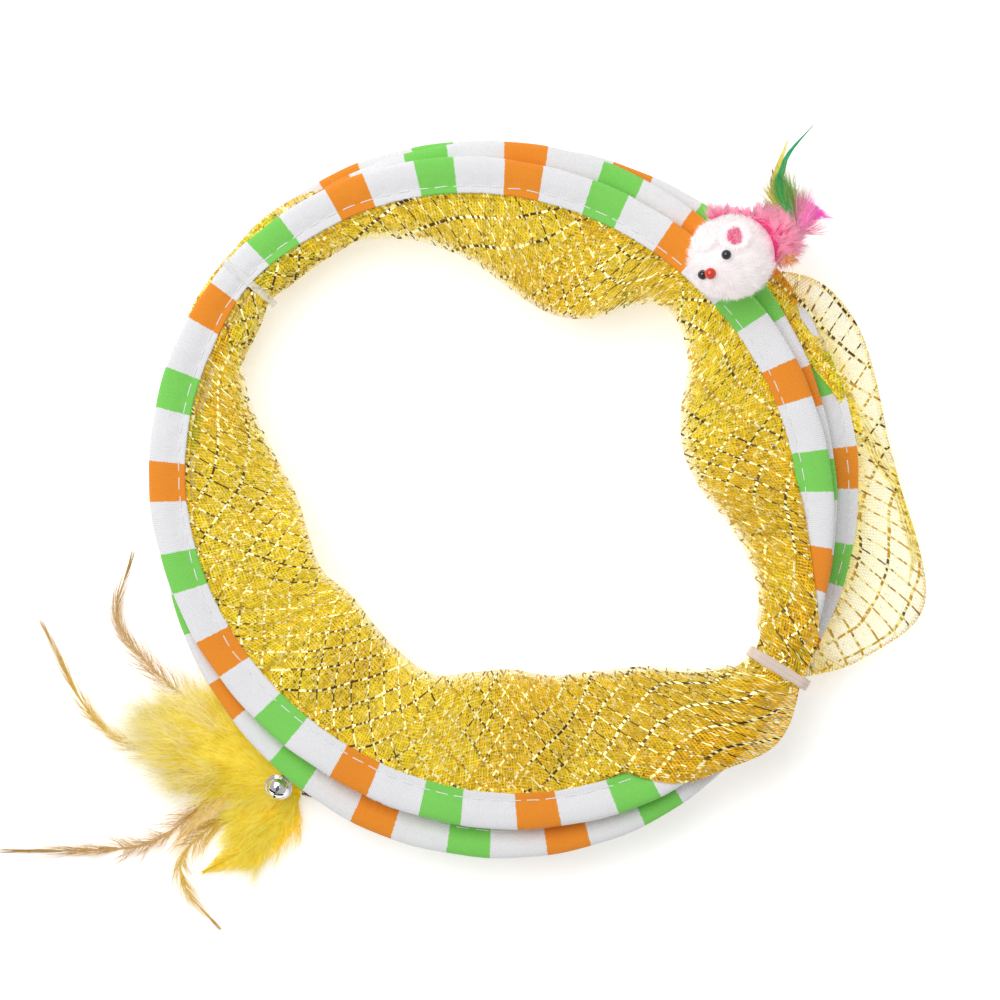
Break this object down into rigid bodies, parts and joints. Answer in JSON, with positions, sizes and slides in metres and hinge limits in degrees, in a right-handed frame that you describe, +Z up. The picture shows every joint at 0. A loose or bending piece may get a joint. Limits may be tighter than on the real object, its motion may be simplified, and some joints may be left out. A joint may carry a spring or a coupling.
{
  "type": "cat tunnel",
  "caption": "Collapsible cat play tunnel of gold gauze on striped wire hoops, tied flat, with a plush mouse and a belled feather tuft.",
  "frame": {"origin": "on the floor, below the middle of the whole outline as seen from above", "axes": "+Z up along the stack of hoops, from the floor to the top hoop; +X towards the side where the gauze is pulled out between the hoops and away from the feather tuft; +Y towards the side of the mouse's tail feathers"},
  "size_m": [0.3312, 0.2869, 0.0568],
  "materials": {
    "striped_casing": "white stretch ribbing with bands of green and orange across it, matt, overlocked and stitched along the inner edge",
    "spring_wire": "bare round spring steel",
    "gold_gauze": "sheer yellow gauze with a crossed grid of metallic gold and dark thread",
    "elastic": "pale translucent elastic",
    "white_fur": "short dense white plush fur",
    "pink_fur": "dyed pink plush fur",
    "black_bead": "polished black bead",
    "red_bead": "polished red bead",
    "green_feather": "dyed green feather barbs",
    "yellow_feather": "dyed yellow feather barbs",
    "magenta_feather": "dyed magenta feather barbs",
    "dark_thread": "dark brown twisted thread",
    "yellow_down": "fluffy dyed yellow down",
    "tan_hackle": "long tan hackle barbs, slightly glossy",
    "chrome_bell": "bright nickel plated pressed shell"
  },
  "bodies": {
    "hoop_1": {"hoop_1_casing": "striped_casing", "hoop_1_wire": "spring_wire", "net_1": "gold_gauze", "tie_1": "elastic", "tie_2": "elastic", "tuft_tether": "dark_thread"},
    "hoop_2": {"hoop_2_casing": "striped_casing", "hoop_2_wire": "spring_wire", "net_2": "gold_gauze"},
    "hoop_3": {"hoop_3_casing": "striped_casing", "hoop_3_wire": "spring_wire", "net_3": "gold_gauze"},
    "hoop_4": {"hoop_4_casing": "striped_casing", "hoop_4_wire": "spring_wire", "net_4": "gold_gauze"},
    "hoop_5": {"hoop_5_casing": "striped_casing", "hoop_5_wire": "spring_wire"},
    "mouse": {"mouse_head": "white_fur", "mouse_back": "pink_fur", "mouse_ear_near": "pink_fur", "mouse_ear_far": "white_fur", "mouse_eye_near": "black_bead", "mouse_eye_far": "black_bead", "mouse_nose": "red_bead", "mouse_knot": "elastic", "tail_feather_green": "green_feather", "tail_feather_yellow": "yellow_feather", "tail_feather_magenta": "magenta_feather", "tail_feather_pink": "magenta_feather"},
    "tuft": {"tuft_binding": "dark_thread", "tuft_plume": "yellow_down", "tuft_hackle_top": "tan_hackle", "tuft_hackle_long": "tan_hackle", "tuft_hackle_left": "tan_hackle", "tuft_hackle_low": "tan_hackle", "tuft_leaf_feather": "tan_hackle", "tuft_vane_feather": "yellow_down"},
    "bell": {"bell_slotted_half": "chrome_bell", "bell_loop_half": "chrome_bell", "bell_loop": "chrome_bell"},
    "ball": {"bell_ball": "spring_wire"}
  },
  "joints": [
    {"name": "open_section_1", "type": "slide", "parent": "hoop_1", "child": "hoop_2", "axis": [0, 0, 1], "range_m": [0, 0.115], "deforming": ["net_1", "tie_1", "tie_2"]},
    {"name": "open_section_2", "type": "slide", "parent": "hoop_2", "child": "hoop_3", "axis": [0, 0, 1], "range_m": [0, 0.115], "deforming": ["net_2"]},
    {"name": "open_section_3", "type": "slide", "parent": "hoop_3", "child": "hoop_4", "axis": [0, 0, 1], "range_m": [0, 0.115], "deforming": ["net_3"]},
    {"name": "open_section_4", "type": "slide", "parent": "hoop_4", "child": "hoop_5", "axis": [0, 0, 1], "range_m": [0, 0.115], "deforming": ["net_4"]},
    {"name": "mouse_swing", "type": "hinge", "parent": "hoop_5", "child": "mouse", "pos_m": [0.0955, 0.0858, 0.03], "axis": [0, 0, 1], "range_deg": [-25, 25]},
    {"name": "tuft_swing", "type": "hinge", "parent": "hoop_1", "child": "tuft", "pos_m": [-0.0556, -0.0942, 0.0042], "axis": [0, 0, 1], "range_deg": [0, 40]},
    {"name": "bell_swing", "type": "hinge", "parent": "tuft", "child": "bell", "pos_m": [-0.0657, -0.0874, 0.0144], "axis": [0, 0, 1], "range_deg": [-12, 12]},
    {"name": "bell_rattle", "type": "slide", "parent": "bell", "child": "ball", "axis": [0, 0, 1], "range_m": [0, 0.0042]}
  ],
  "couplings": [
    {"joint": "open_section_2", "follows": "open_section_1", "ratio": 1},
    {"joint": "open_section_3", "follows": "open_section_1", "ratio": 1},
    {"joint": "open_section_4", "follows": "open_section_1", "ratio": 1}
  ]
}
